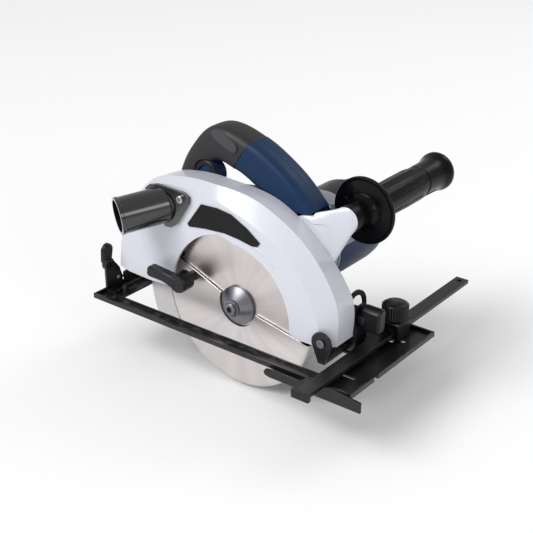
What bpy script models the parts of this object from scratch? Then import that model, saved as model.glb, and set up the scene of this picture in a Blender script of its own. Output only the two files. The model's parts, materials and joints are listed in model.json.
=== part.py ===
"""Corded hand-held circular saw with tilting base, depth swing, lower guard and parallel fence.

Frame: origin on the sole under the blade's axis, +X forward, +Y towards the motor, +Z up.
Helper arguments are in millimetres; meshes are made in metres.
"""

import math

import bmesh
import bpy
from mathutils import Matrix, Vector

MM = 0.001
GAP = 0.3

# Axes and planes of the saw (mm)
BLADE_Z = 26.0
BLADE_R = 80.0
BLADE_Y = (-36.0, -34.0)
DEPTH_X = 102.0
DEPTH_Z = 26.0
TILT_Y = -35.5
MOTOR_X = 24.0
MOTOR_Z = 71.0
AUX_X = 90.0
AUX_Z = 121.0
AUX_Y = 1.5

# Base plate (mm)
BASE_X = (-154.0, 150.0)
BASE_Y = (-73.8, 64.2)
FLOOR_T = 2.0
RIM_H = 5.0
SLOT_X = (-129.5, 114.0)
SLOT_Y = (-60.0, -12.0)

# Guards (mm)
GUARD_Y = (-47.0, -37.0, -12.0)
GUARD_WALL = 2.6
SIGHT_REAR_R = 72.0
SIGHT_FRONT_R = 66.0
SWING_OPEN = -11.0
SWING_SPAN = 191.0
SWING_R = 82.5
SWING_Y = (-38.4, -23.0)
LEVER_AT = (54.5, 163.5)

# Housings (mm)
CASE_Y = (-8.3, 30.0)
MOTOR_R = 41.0
GRIP_Y = (-11.5, 22.5)
BOSS_X = -58.0
BOSS_Z = 133.0
TAIL_SPLIT = ((-36.0, 130.0), (3.0, 190.0))
PORT_ROOT = Vector((-79.0, -45.0, 109.0))
PORT_WAY = Vector((-0.51, -0.85, -0.12)).normalized()
PORT_SCREW = (-54.5, 121.5)
FENCE_X = 121.2
FENCE_Y = 40.0

# Gear train: module in mm and tooth counts
MODULE = 1.25
PINION_TEETH = 13
WHEEL_TEETH = 28

COLOURS = {
    "black_paint": ((0.012, 0.011, 0.012), 0.38, 0.0),
    "white_paint": ((0.73, 0.74, 0.82), 0.25, 0.0),
    "steel": ((0.62, 0.58, 0.57), 0.28, 1.0),
    "dark_steel": ((0.16, 0.16, 0.18), 0.35, 1.0),
    "bright_steel": ((0.75, 0.75, 0.76), 0.2, 1.0),
    "blue_plastic": ((0.026, 0.058, 0.145), 0.42, 0.0),
    "black_plastic": ((0.02, 0.019, 0.022), 0.45, 0.0),
    "rubber": ((0.028, 0.026, 0.028), 0.7, 0.0),
    "copper": ((0.55, 0.2, 0.08), 0.35, 1.0),
    "badge": ((0.008, 0.009, 0.008), 0.3, 0.0),
    "casting": ((0.42, 0.43, 0.47), 0.4, 0.0),
}


def clear_scene():
    for item in list(bpy.data.objects):
        bpy.data.objects.remove(item, do_unlink=True)


def make_collection(name):
    group = bpy.data.collections.new(name)
    bpy.context.scene.collection.children.link(group)
    return group


def make_material(name, look):
    colour, roughness, metallic = COLOURS[look]
    material = bpy.data.materials.new(name)
    material.use_nodes = True
    shader = material.node_tree.nodes["Principled BSDF"]
    shader.inputs["Base Color"].default_value = (*colour, 1.0)
    shader.inputs["Roughness"].default_value = roughness
    shader.inputs["Metallic"].default_value = metallic
    material.diffuse_color = (*colour, 1.0)
    return material


def polar(centre, radius, degrees):
    turn = math.radians(degrees)
    return (centre[0] + radius * math.cos(turn), centre[1] + radius * math.sin(turn))


def arc(centre, radius, start, end, count):
    return [polar(centre, radius, start + (end - start) * i / (count - 1)) for i in range(count)]


def smooth_path(points, per_span):
    """Catmull-Rom curve through the points, in two or three dimensions."""
    padded = [points[0]] + list(points) + [points[-1]]
    result = []
    for i in range(1, len(padded) - 2):
        a, b, c, d = (Vector(padded[i + k]) for k in (-1, 0, 1, 2))
        for step in range(per_span):
            t = step / per_span
            point = 0.5 * (2 * b + (c - a) * t + (2 * a - 5 * b + 4 * c - d) * t * t
                           + (3 * b - a - 3 * c + d) * t * t * t)
            result.append(tuple(point))
    result.append(tuple(points[-1]))
    return result


def shrink(outline, distance):
    """Moves a closed outline inwards by a distance; positive area runs anticlockwise."""
    count = len(outline)
    area = sum(outline[i][0] * outline[(i + 1) % count][1] - outline[(i + 1) % count][0] * outline[i][1]
               for i in range(count))
    side = 1.0 if area > 0 else -1.0
    result = []
    for i in range(count):
        here = Vector(outline[i])
        before = (here - Vector(outline[i - 1])).normalized()
        after = (Vector(outline[(i + 1) % count]) - here).normalized()
        normals = [Vector((-d.y, d.x)) * side for d in (before, after)]
        mean = (normals[0] + normals[1]).normalized()
        result.append(tuple(here + mean * distance / max(mean.dot(normals[0]), 0.5)))
    return result


def settle(mesh):
    work = bmesh.new()
    work.from_mesh(mesh)
    bmesh.ops.recalc_face_normals(work, faces=work.faces[:])
    work.to_mesh(mesh)
    work.free()
    mesh.shade_smooth()
    mesh.set_sharp_from_angle(angle=math.radians(35))


def add_object(name, mesh, look, group, location=(0, 0, 0)):
    item = bpy.data.objects.new(name, mesh)
    group.objects.link(item)
    item.location = Vector(location) * MM
    if look:
        mesh.materials.append(make_material(name, look))
    else:
        item.hide_render = True
        item.display_type = "WIRE"
    return item


def loft_mesh(name, rings):
    """Closed skin through rings of equal point counts, with flat ends."""
    mesh = bpy.data.meshes.new(name)
    work = bmesh.new()
    rows = [[work.verts.new(Vector(p) * MM) for p in ring] for ring in rings]
    count = len(rows[0])
    for low, high in zip(rows, rows[1:]):
        for i in range(count):
            work.faces.new((low[i], low[(i + 1) % count], high[(i + 1) % count], high[i]))
    work.faces.new(rows[0][::-1])
    work.faces.new(rows[-1])
    work.to_mesh(mesh)
    work.free()
    settle(mesh)
    return mesh


def place(outline, axis, depth):
    """Puts a flat outline on the plane normal to an axis at a depth."""
    if axis == "Y":
        return [(p[0], depth, p[1]) for p in outline]
    if axis == "X":
        return [(depth, p[0], p[1]) for p in outline]
    return [(p[0], p[1], depth) for p in outline]


def slab(name, outline, axis, span, look, group, location=(0, 0, 0)):
    rings = [place(outline, axis, depth) for depth in span]
    return add_object(name, loft_mesh(name, rings), look, group, location)


def block(name, low, high, look, group):
    mesh = bpy.data.meshes.new(name)
    work = bmesh.new()
    size = Vector(high) - Vector(low)
    centre = (Vector(high) + Vector(low)) / 2
    matrix = Matrix.Translation(centre * MM) @ Matrix.Diagonal((*(size * MM), 1.0))
    bmesh.ops.create_cube(work, size=1.0, matrix=matrix)
    work.to_mesh(mesh)
    work.free()
    return add_object(name, mesh, look, group)


def turned(name, profile, look, group, location, direction, segments=32):
    """Solid of revolution from (radius, height) pairs, laid along a direction from its location."""
    mesh = bpy.data.meshes.new(name)
    work = bmesh.new()
    downward = profile if profile[0][1] > profile[-1][1] else profile[::-1]
    verts = [work.verts.new((r * MM, 0.0, h * MM)) for r, h in downward]
    for first, second in zip(verts, verts[1:]):
        work.edges.new((first, second))
    work.to_mesh(mesh)
    work.free()
    item = add_object(name, mesh, look, group, location)
    item.rotation_mode = "QUATERNION"
    item.rotation_quaternion = Vector((0, 0, 1)).rotation_difference(Vector(direction).normalized())
    screw = item.modifiers.new("Turn", "SCREW")
    screw.steps = segments
    screw.render_steps = segments
    screw.use_merge_vertices = True
    screw.merge_threshold = 0.00001
    screw.use_smooth_shade = True
    return item


def ring(name, inner, outer, look, group, location, direction, height, segments=32):
    """Washer or tube of constant wall along a direction."""
    outline_in = arc((0, 0), inner, 0, 360 - 360 / segments, segments)
    outline_out = arc((0, 0), outer, 0, 360 - 360 / segments, segments)
    mesh = bpy.data.meshes.new(name)
    work = bmesh.new()
    rows = [[work.verts.new(Vector((x, y, z)) * MM) for x, y in outline]
            for outline, z in ((outline_in, 0), (outline_out, 0), (outline_out, height),
                               (outline_in, height))]
    for k in range(4):
        low, high = rows[k], rows[(k + 1) % 4]
        for i in range(segments):
            j = (i + 1) % segments
            work.faces.new((low[i], low[j], high[j], high[i]))
    work.to_mesh(mesh)
    work.free()
    settle(mesh)
    item = add_object(name, mesh, look, group, location)
    item.rotation_mode = "QUATERNION"
    item.rotation_quaternion = Vector((0, 0, 1)).rotation_difference(Vector(direction).normalized())
    return item


def rod(name, radius, length, look, group, location, direction, segments=24):
    """Solid cylinder that starts at its location and runs along a direction."""
    mesh = bpy.data.meshes.new(name)
    work = bmesh.new()
    bmesh.ops.create_cone(work, cap_ends=True, segments=segments, radius1=radius * MM,
                          radius2=radius * MM, depth=length * MM,
                          matrix=Matrix.Translation((0, 0, length * MM / 2)))
    work.to_mesh(mesh)
    work.free()
    mesh.shade_smooth()
    mesh.set_sharp_from_angle(angle=math.radians(35))
    item = add_object(name, mesh, look, group, location)
    item.rotation_mode = "QUATERNION"
    item.rotation_quaternion = Vector((0, 0, 1)).rotation_difference(Vector(direction).normalized())
    return item


def boolean(item, other, operation="DIFFERENCE"):
    modifier = item.modifiers.new(other.name, "BOOLEAN")
    modifier.operation = operation
    modifier.solver = "EXACT"
    modifier.object = other


def soften(item, width, segments=1, angle=40):
    modifier = item.modifiers.new("Edges", "BEVEL")
    modifier.width = width * MM
    modifier.segments = segments
    modifier.limit_method = "ANGLE"
    modifier.angle_limit = math.radians(angle)


def build_base(parts, cutters):
    plate = block("base_plate", (BASE_X[0], BASE_Y[0], 0), (BASE_X[1], BASE_Y[1], RIM_H), "black_paint",
                  parts)
    wall = 2.0
    top = RIM_H + 3
    pockets = [
        ((BASE_X[0] + wall, BASE_Y[0] + wall, FLOOR_T), (BASE_X[1] - wall, SLOT_Y[0] - wall, top)),
        ((BASE_X[0] + wall, SLOT_Y[0] - wall - 1, FLOOR_T), (SLOT_X[0] - wall, BASE_Y[1] - wall, top)),
        ((SLOT_X[1] + wall, SLOT_Y[0] - wall - 1, FLOOR_T), (BASE_X[1] - wall, BASE_Y[1] - wall, top)),
        ((SLOT_X[0] - wall - 1, SLOT_Y[0] + 1, FLOOR_T), (SLOT_X[1] + wall + 1, BASE_Y[1] - wall, top)),
    ]
    holes = [
        ((SLOT_X[0], SLOT_Y[0], -1), (SLOT_X[1], SLOT_Y[1], top)),
        ((90, -9, -1), (109, -3, top)),
        ((123, -47.5, -1), (136, -44.5, top)),
        ((146, -37, -1), (152, -31, top)),
        ((SLOT_X[0] - wall - 2, SLOT_Y[0] - wall - 0.5, RIM_H - 0.8),
         (SLOT_X[1] + wall + 2, SLOT_Y[0] + 2, top)),
    ]
    for i, (low, high) in enumerate(pockets + holes):
        boolean(plate, block(f"cut_base_{i}", low, high, None, cutters))
    for i, (x, y) in enumerate(((125, 30), (134, 36))):
        boolean(plate, rod(f"cut_base_bore_{i}", 2.5, 8, None, cutters, (x, y, -2), (0, 0, 1), 12))
    build_bow(parts)
    build_rear_bracket(parts, cutters)


def build_rear_bracket(parts, cutters):
    foot = block("rear_bracket", (-150.8, -60, FLOOR_T + GAP), (-138, -48, 5), "black_paint", parts)
    outline = [(-60, 2.3), (-40, 2.3), (-38, 12), (-42, 24), (-49, 33), (-58, 36), (-60, 30)]
    upright = slab("cut_rear_upright", outline, "X", (-150.8, -148.3), None, cutters)
    boolean(foot, upright, "UNION")
    boolean(foot, rod("cut_rear_bolt", 2.6, 10, None, cutters, (-153, -44, 13), (1, 0, 0), 16))
    turned("rear_bolt", [(0, 0), (3.9, 0), (4.6, 1), (4.6, 2.1), (2.3, 2.1), (2.3, 5), (0, 5)],
           "bright_steel", parts, (-153.2, -44, 13), (1, 0, 0), 16)


def build_bow(parts):
    """Upright bow that the tilt clamp bears against."""
    centre, outer, inner = (9.0, 36.0), 16.8, 12.0
    outline = [(-7.8, 2.3), (-7.8, 36)] + arc(centre, outer, 165, 15, 13)
    outline += [(25.8, 36), (25.8, 2.3), (21, 2.3)]
    outline += [(21, 36)] + arc(centre, inner, 15, 165, 11) + [(-3, 36), (-3, 8), (14, 8), (14, 2.3)]
    slab("front_bow", outline, "X", (97.0, 99.3), "black_paint", parts)


def build_fence(parts, cutters):
    holder = block("fence_holder", (110, 30, FLOOR_T + GAP), (132, 52, 19.5), "black_paint", parts)
    soften(holder, 1.5)
    boolean(holder, block("cut_fence_way", (114.1, 20, 6.6), (128.4, 60, 11.4), None, cutters))
    boolean(holder, rod("cut_fence_screw", 3.3, 12, None, cutters, (FENCE_X, FENCE_Y, 10), (0, 0, 1), 16))
    knob = [(0, 36), (10.5, 36), (12.3, 34.6), (12.6, 22.5), (10.5, 20), (3.0, 20), (3.0, 11.8), (0, 11.8)]
    turned("fence_knob", [(r, h - 20) for r, h in knob], "black_plastic", parts,
           (FENCE_X, FENCE_Y, 20), (0, 0, 1), 32)
    bar = block("fence_bar", (114.5, -102, 7), (128, 168, 11), "black_paint", parts)
    boolean(bar, rod("cut_bar_hole", 2.5, 10, None, cutters, (FENCE_X, 161, 4), (0, 0, 1), 12))
    block("fence_end_cap", (112.5, -106.5, 5.0), (130, -102.3, 13), "black_plastic", parts)
    outline = [(62, -2), (64, 1), (72, 2.5), (100, 2.5), (106, 6.7), (136, 6.7), (146, 5.5), (163, 4),
               (163, -6), (68, -6), (63.5, -5)]
    slab("fence_guide", outline, "Y", (-79.0, -76.5), "black_paint", parts)


def build_cradle(parts, cutters):
    ear = [(99, 6)] + arc((DEPTH_X, DEPTH_Z), 10.4, 215, -30, 14) + [(107, 12), (106, 6)]
    bracket = slab("tilt_bracket", ear, "Y", (-49.2, -47.3), "black_paint", parts)
    far = [(90, 3.4)] + arc((DEPTH_X, DEPTH_Z), 11.0, 190, -10, 12) + [(112.8, 12), (109.5, 3.4)]
    rear = [(-35.2, 3.6), (-9, 3.6), (-9, 9), (-20, 9), (-32, 18), (-38, 17), (-38.8, 12)]
    pieces = [
        slab("cut_cradle_far_ear", far, "Y", (-11.4, -8.9), None, cutters),
        slab("cut_cradle_strap", [(-49, 6), (-9, 6), (-9, 12), (-49, 12)], "X", (99, 106), None, cutters),
        slab("cut_cradle_front", [(-11.3, 3.4), (8, 3.4), (11, 10), (11, 40), (6, 45), (-4, 45), (-11.3, 30)],
             "X", (107, 109.3), None, cutters),
        block("cut_cradle_rail", (-147.7, -11.4, 3.4), (109.3, -8.9, 9.0), None, cutters),
        slab("cut_cradle_rear", rear, "X", (-147.9, -145.7), None, cutters),
    ]
    for piece in pieces:
        boolean(bracket, piece, "UNION")
    boolean(bracket, rod("cut_pivot_bore", 3.3, 60, None, cutters, (DEPTH_X, -55, DEPTH_Z), (0, 1, 0), 20))
    boolean(bracket, rod("cut_clamp_bore", 3.3, 12, None, cutters, (103, -1, 32), (1, 0, 0), 16))
    pin = turned("depth_pin", [(0, 0), (4.0, 0), (4.0, 1.4), (3.0, 1.4), (3.0, 41.5), (0, 41.5)],
                 "dark_steel", parts, (DEPTH_X, -50.9, DEPTH_Z), (0, 1, 0), 20)
    boolean(pin, rod("cut_pin_socket", 1.9, 1.2, None, cutters, (DEPTH_X, -51.4, DEPTH_Z), (0, 1, 0), 6))
    build_depth_quadrant(parts, cutters)
    build_bevel_knob(parts, cutters)
    build_rear_knob(parts, cutters)


def build_depth_quadrant(parts, cutters):
    """Curved and slotted strip about the depth pivot; the clamp lever's screw runs in it."""
    pivot = (DEPTH_X, DEPTH_Z)
    outline = arc(pivot, 166, 187, 145.5, 15) + arc(pivot, 154, 145.5, 187, 15)
    slot = arc(pivot, 162.7, 182.8, 147.4, 14) + arc(pivot, 157.3, 147.4, 182.8, 14)
    quadrant = slab("depth_quadrant", outline, "Y", (-8.6, -6.6), "black_paint", parts)
    boolean(quadrant, slab("cut_quadrant_slot", slot, "Y", (-12, -3), None, cutters))


def build_bevel_knob(parts, cutters):
    shaft = turned("bevel_knob", [(0, -5), (2.9, -5), (2.9, 0.4), (6.5, 0.4), (6.5, 6), (5.5, 9), (0, 9)],
                   "black_plastic", parts, (109.3, -1, 32), (1, 0, 0), 20)
    tab = slab("cut_bevel_tab", [(-5.5, 24), (3.5, 24), (6, 27), (7.5, 44), (5, 47), (-1, 47), (-4.5, 43)],
               "X", (112, 132), None, cutters)
    soften(tab, 2.0)
    boolean(shaft, tab, "UNION")


def build_rear_knob(parts, cutters):
    shaft = turned("rear_knob", [(0, -2), (2.4, -2), (2.4, 2.9), (6.5, 2.9), (6.5, 7), (0, 7)],
                   "black_plastic", parts, (-148.6, -52, 29), (-1, 0, 0), 20)
    boolean(bpy.data.objects["rear_bracket"],
            rod("cut_rear_knob", 2.8, 10, None, cutters, (-153, -52, 29), (1, 0, 0), 16))
    wing = slab("cut_rear_wing", [(-58, 30), (-47.5, 27), (-44, 44), (-46, 49), (-52, 50), (-57, 45)],
                "X", (-159.5, -151.9), None, cutters)
    soften(wing, 2.0)
    boolean(shaft, wing, "UNION")


def guard_rings():
    """Near face, shoulder and far edge of the upper guard, as outlines of equal counts."""
    near_top = smooth_path([(96, 20), (95, 46), (73, 84), (37, 110), (-17, 129), (-55, 131.5), (-90, 126),
                            (-121, 99), (-136, 64), (-141.5, 29)], 4)
    rim_top = smooth_path([(110, 20), (108, 62), (76, 106), (24, 134), (-28, 139), (-66, 137), (-98, 128),
                           (-127, 100), (-140.5, 64), (-144.8, 29)], 4)
    far_top = smooth_path([(110, 20), (108, 58), (75, 99), (28, 129), (-28, 136), (-66, 135), (-98, 126),
                           (-127, 99), (-140.5, 64), (-144.8, 29)], 4)
    sight = arc((0, BLADE_Z), SIGHT_REAR_R, 176, 100, 7) + arc((0, BLADE_Z), SIGHT_FRONT_R, 85, -3, 9)
    near_low = [(-129, 26), (-102, 25), (-82, 26)] + sight + [(76, 19.5)]
    steps = len(near_low) - 4
    low = [(-129, 24), (-88, 22)] + [(-80 + 168 * i / steps, 8) for i in range(steps + 1)] + [(92, 18)]
    return near_top + near_low, rim_top + low, far_top + low, len(near_top)


def build_upper_guard(parts, cutters):
    near, rim, far, top_count = guard_rings()
    rings = [place(near, "Y", GUARD_Y[0]), place(rim, "Y", GUARD_Y[1]), place(far, "Y", GUARD_Y[2])]
    guard = add_object("upper_guard", loft_mesh("upper_guard", rings), "white_paint", parts)
    inner = []
    for outline, depth in ((near, GUARD_Y[0] + GUARD_WALL), (rim, GUARD_Y[1] + 1.5), (far, GUARD_Y[2] - 2.4)):
        core = shrink(outline, GUARD_WALL + 0.4)[:top_count]
        core[0] = (core[0][0], -8)
        core[-1] = (core[-1][0], -8)
        inner.append(place(core, "Y", depth))
    boolean(guard, add_object("cut_guard_core", loft_mesh("cut_guard_core", inner), None, cutters))
    window = arc((0, BLADE_Z), SIGHT_REAR_R, 178, 100, 12) + arc((0, BLADE_Z), SIGHT_FRONT_R, 88, -5.7, 12)
    window += [(66, -8), (-82, -8), (-82, 25)]
    boolean(guard, slab("cut_guard_window", window, "Y", (-60, -30), None, cutters))
    foot = [(60, -8), (120, -8), (120, 19.5), (60, 19.5)]
    boolean(guard, slab("cut_guard_foot", foot, "Y", (-60, -13.2), None, cutters))
    boolean(guard, rod("cut_guard_arbor", 13, 30, None, cutters, (0, -30, BLADE_Z), (0, 1, 0), 32))
    boolean(guard, rod("cut_guard_pin", 3.4, 60, None, cutters, (DEPTH_X, -60, DEPTH_Z), (0, 1, 0), 20))
    build_port(parts, cutters, guard)
    badge = [(-50, 98), (-33, 121), (-14, 122), (2, 120), (20, 111), (34, 101), (31, 97), (25, 96),
             (10, 98.5), (-6, 100), (-28, 98.5), (-48, 95.5)]
    slab("badge_plate", badge, "Y", (GUARD_Y[0] - 1.0, GUARD_Y[0] - GAP), "badge", parts)


def build_port(parts, cutters, guard):
    """Slanting dust tube on a three-cornered flange at the rear top of the guard."""
    outline = [(-99, 122), (-93, 127), (-84, 129), (-52, 128), (-45.5, 125), (-46, 119), (-61, 95), (-68, 90),
               (-75, 89.5), (-97, 108)]
    flange = slab("dust_port", outline, "Y", (-50.4, -47.3), "black_plastic", parts)
    tube = rod("cut_port_tube", 17.4, 46, None, cutters, PORT_ROOT, PORT_WAY, 36)
    boolean(tube, block("cut_port_back", (-130, -47.5, 60), (-30, -10, 160), None, cutters))
    boolean(flange, tube, "UNION")
    boolean(flange, rod("cut_port_bore", 15.2, 80, None, cutters, PORT_ROOT - PORT_WAY * 15, PORT_WAY, 36))
    boolean(guard, rod("cut_port_way", 14.6, 16, None, cutters, PORT_ROOT - PORT_WAY * 8, PORT_WAY, 32))
    screw_x, screw_z = PORT_SCREW
    boolean(flange, rod("cut_port_screw", 2.2, 12, None, cutters, (screw_x, -55, screw_z), (0, 1, 0), 12))
    turned("port_screw", [(0, 0), (2.6, 0), (3.6, 1.6), (3.6, 2.9), (1.8, 2.9), (1.8, 5.9), (0, 5.9)],
           "bright_steel", parts, (screw_x, -53.6, screw_z), (0, 1, 0), 16)


def build_lower_guard(parts, cutters):
    near, far = SWING_Y
    wall = 1.2
    profile = [(21, near), (79, near), (81, near + 0.5), (82.1, near + 1.4), (SWING_R, near + 2.8),
               (SWING_R, far), (24, far), (24, far - wall), (SWING_R - wall, far - wall),
               (SWING_R - wall, near + 3.0), (80.8, near + wall + 0.7), (79.8, near + wall),
               (21, near + wall)]
    steps = 44
    rings = []
    for i in range(steps + 1):
        turn = math.radians(SWING_OPEN - SWING_SPAN * i / steps)
        rings.append([(r * math.cos(turn), y, r * math.sin(turn)) for r, y in profile])
    shell = add_object("lower_guard", loft_mesh("lower_guard", rings), "steel", parts, (0, 0, BLADE_Z))
    hub = polar((0, 0), *LEVER_AT)
    seat = rod("cut_lever_seat", 2.6, 6, None, cutters, (hub[0], -41, hub[1] + BLADE_Z), (0, 1, 0), 16)
    boolean(shell, seat)
    lever = turned("guard_lever", [(0, 0), (5, 0), (5, 10), (9.3, 10), (9.6, 22.4), (8.6, 24.4), (0, 24.4)],
                   "black_plastic", parts, (hub[0], near - GAP, hub[1] + BLADE_Z), (0, -1, 0), 24)
    arm = [(hub[0] + 2, 47), (-70, 48.5), (-87, 50), (-90, 47.5), (-91, 41), (-88, 38.5), (-70, 38),
           (hub[0] - 4, 34)]
    wing = slab("cut_lever_arm", arm, "Y", (-63.4, -53.5), None, cutters)
    soften(wing, 1.6)
    boolean(lever, wing, "UNION")
    coil_r, pitch = 16.4, 0.22
    spring = [(coil_r * math.cos(k * 0.7), -22.1 + pitch * k, coil_r * math.sin(k * 0.7)) for k in range(28)]
    curve = bpy.data.curves.new("guard_spring", "CURVE")
    curve.dimensions = "3D"
    line = curve.splines.new("POLY")
    line.points.add(len(spring) - 1)
    for point, spot in zip(line.points, spring):
        point.co = (*(Vector(spot) * MM), 1.0)
    curve.bevel_depth = 0.6 * MM
    curve.bevel_resolution = 1
    curve.use_fill_caps = True
    coil = add_object("guard_spring", curve, "dark_steel", parts, (0, 0, BLADE_Z))
    weld = coil.modifiers.new("Weld", "WELD")
    weld.merge_threshold = 0.00001


def build_blade(parts, cutters):
    teeth = 24
    outline = []
    for i in range(teeth):
        tip = -360.0 * i / teeth
        outline += [polar((0, 0), BLADE_R, tip), polar((0, 0), BLADE_R - 1.2, tip - 6),
                    polar((0, 0), BLADE_R - 6.5, tip - 9.4), polar((0, 0), BLADE_R - 7.2, tip - 12.4)]
    blade = slab("blade", outline, "Y", BLADE_Y, "steel", parts, (0, 0, BLADE_Z))
    boolean(blade, rod("cut_blade_bore", 8.3, 10, None, cutters, (0, -40, BLADE_Z), (0, 1, 0), 32))
    outer = turned("outer_flange", [(0, 0), (8, 0), (18.8, 6.2), (18.8, 8.7), (0, 8.7)],
                   "dark_steel", parts, (0, -45, BLADE_Z), (0, 1, 0), 40)
    boolean(outer, rod("cut_flange_bore", 4.3, 30, None, cutters, (0, -50, BLADE_Z), (0, 1, 0), 20))
    bolt = turned("blade_bolt", [(0, 0), (5.6, 0), (6.5, 1), (6.5, 4.7), (4, 4.7), (4, 24), (0, 24)],
                  "dark_steel", parts, (0, -50, BLADE_Z), (0, 1, 0), 24)
    boolean(bolt, rod("cut_bolt_socket", 3.2, 4.4, None, cutters, (0, -50.9, BLADE_Z), (0, 1, 0), 6))
    inner = turned("inner_flange", [(0, 0), (18, 0), (18, 4), (0, 4)], "dark_steel", parts,
                   (0, -33.7, BLADE_Z), (0, 1, 0), 32)
    boolean(inner, rod("cut_inner_bore", 8.3, 30, None, cutters, (0, -40, BLADE_Z), (0, 1, 0), 24))
    arbor = turned("arbor", [(0, -35.9), (8, -35.9), (8, 8.4), (6.6, 8.4), (6.6, 26), (0, 26)],
                   "bright_steel", parts, (0, 0, BLADE_Z), (0, 1, 0), 24)
    boolean(arbor, rod("cut_arbor_thread", 4.3, 14, None, cutters, (0, -38.6, BLADE_Z), (0, 1, 0), 20))
    knife = arc((0, BLADE_Z), 84.5, 183, 211, 9) + arc((0, BLADE_Z), 111, 209, 183, 9)
    slab("riving_knife", knife, "Y", (BLADE_Y[0] + 0.2, BLADE_Y[1] - 0.2), "bright_steel", parts)


def hull(points):
    """Convex outline around points, anticlockwise."""
    ordered = sorted(set(points))
    lower, upper = [], []
    for chain, run in ((lower, ordered), (upper, ordered[::-1])):
        for p in run:
            while len(chain) > 1 and ((chain[-1][0] - chain[-2][0]) * (p[1] - chain[-2][1])
                                      - (chain[-1][1] - chain[-2][1]) * (p[0] - chain[-2][0])) <= 0:
                chain.pop()
            chain.append(p)
    return lower[:-1] + upper[:-1]


def case_outline(extra):
    low = arc((0, BLADE_Z), 23.2 + extra, 180, 345, 14)
    high = arc((MOTOR_X, MOTOR_Z), MOTOR_R + extra, -35, 190, 24)
    return hull([(round(x, 4), round(z, 4)) for x, z in low + high + [(56 + extra, 118 + extra)]])


def build_case(parts, cutters):
    case = slab("gear_case", case_outline(0), "Y", CASE_Y, "casting", parts)
    soften(case, 1.5)
    boolean(case, slab("cut_case_room", case_outline(-2.0), "Y", (-5.9, 40), None, cutters))
    boolean(case, rod("cut_case_arbor", 8.4, 30, None, cutters, (0, -20, BLADE_Z), (0, 1, 0), 24))
    boss = rod("cut_case_boss", 30, 6, None, cutters, (6, -11.7, 64), (0, 1, 0), 32)
    boolean(case, boss, "UNION")
    cover = slab("gear_case_cover", case_outline(0), "Y", (30.3, 33.0), "casting", parts)
    boolean(cover, rod("cut_cover_motor", 33, 10, None, cutters, (MOTOR_X, 26, MOTOR_Z), (0, 1, 0), 40))


def build_aux_handle(parts, cutters):
    """Flared arm beside the guard, the screwed-in flange and the grip."""
    rings = []
    lean = Vector((-0.747, 0.665))
    for y, tall, wide, x, z in ((GUARD_Y[2] + GAP, 27, 14.5, 65, 98.5), (-9, 24, 13.5, 70, 103),
                                (-5, 19.5, 13, 77, 109.5), (-1.5, 14.5, 12.3, 85, 116.5),
                                (AUX_Y, 12, 12, AUX_X, AUX_Z)):
        oval = [(x + lean.x * tall * c + lean.y * wide * d, z + lean.y * tall * c - lean.x * wide * d)
                for c, d in arc((0, 0), 1, 0, 345, 24)]
        rings.append(place(oval, "Y", y))
    arm = add_object("aux_bracket", loft_mesh("aux_bracket", rings), "white_paint", parts)
    boolean(arm, block("cut_aux_handle", (-50, -20, 121.0), (63.2, 60, 200), None, cutters))
    boolean(arm, block("cut_aux_base", (-50, -6.3, 108.7), (64.5, 60, 200), None, cutters))
    case_room = slab("cut_aux_case", case_outline(GAP), "Y", (CASE_Y[0] - GAP, 40), None, cutters)
    boolean(arm, case_room)
    boolean(arm, rod("cut_aux_bore", 4.3, 8, None, cutters, (AUX_X, AUX_Y - 3.4, AUX_Z), (0, 1, 0), 20))
    collar = [(0, -3.1), (4, -3.1), (4, 0.3), (12, 0.3), (12.4, 1.5), (12.4, 22), (14, 25.4), (30.4, 27.2),
              (31.4, 28.9), (30.6, 30.4), (16.4, 31.6), (16, 37), (0, 37)]
    turned("aux_flange", collar, "black_plastic", parts, (AUX_X, AUX_Y, AUX_Z), (0, 1, 0), 40)
    grip = [(0, 0), (14.4, 0), (14.9, 19), (15.5, 46), (15.1, 78), (14.0, 80), (15.1, 82), (15.6, 106),
            (18.4, 114), (18.8, 118), (16.4, 121.5), (0, 122.5)]
    turned("aux_grip", grip, "rubber", parts, (AUX_X, AUX_Y + 37.3, AUX_Z), (0, 1, 0), 32)


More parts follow.
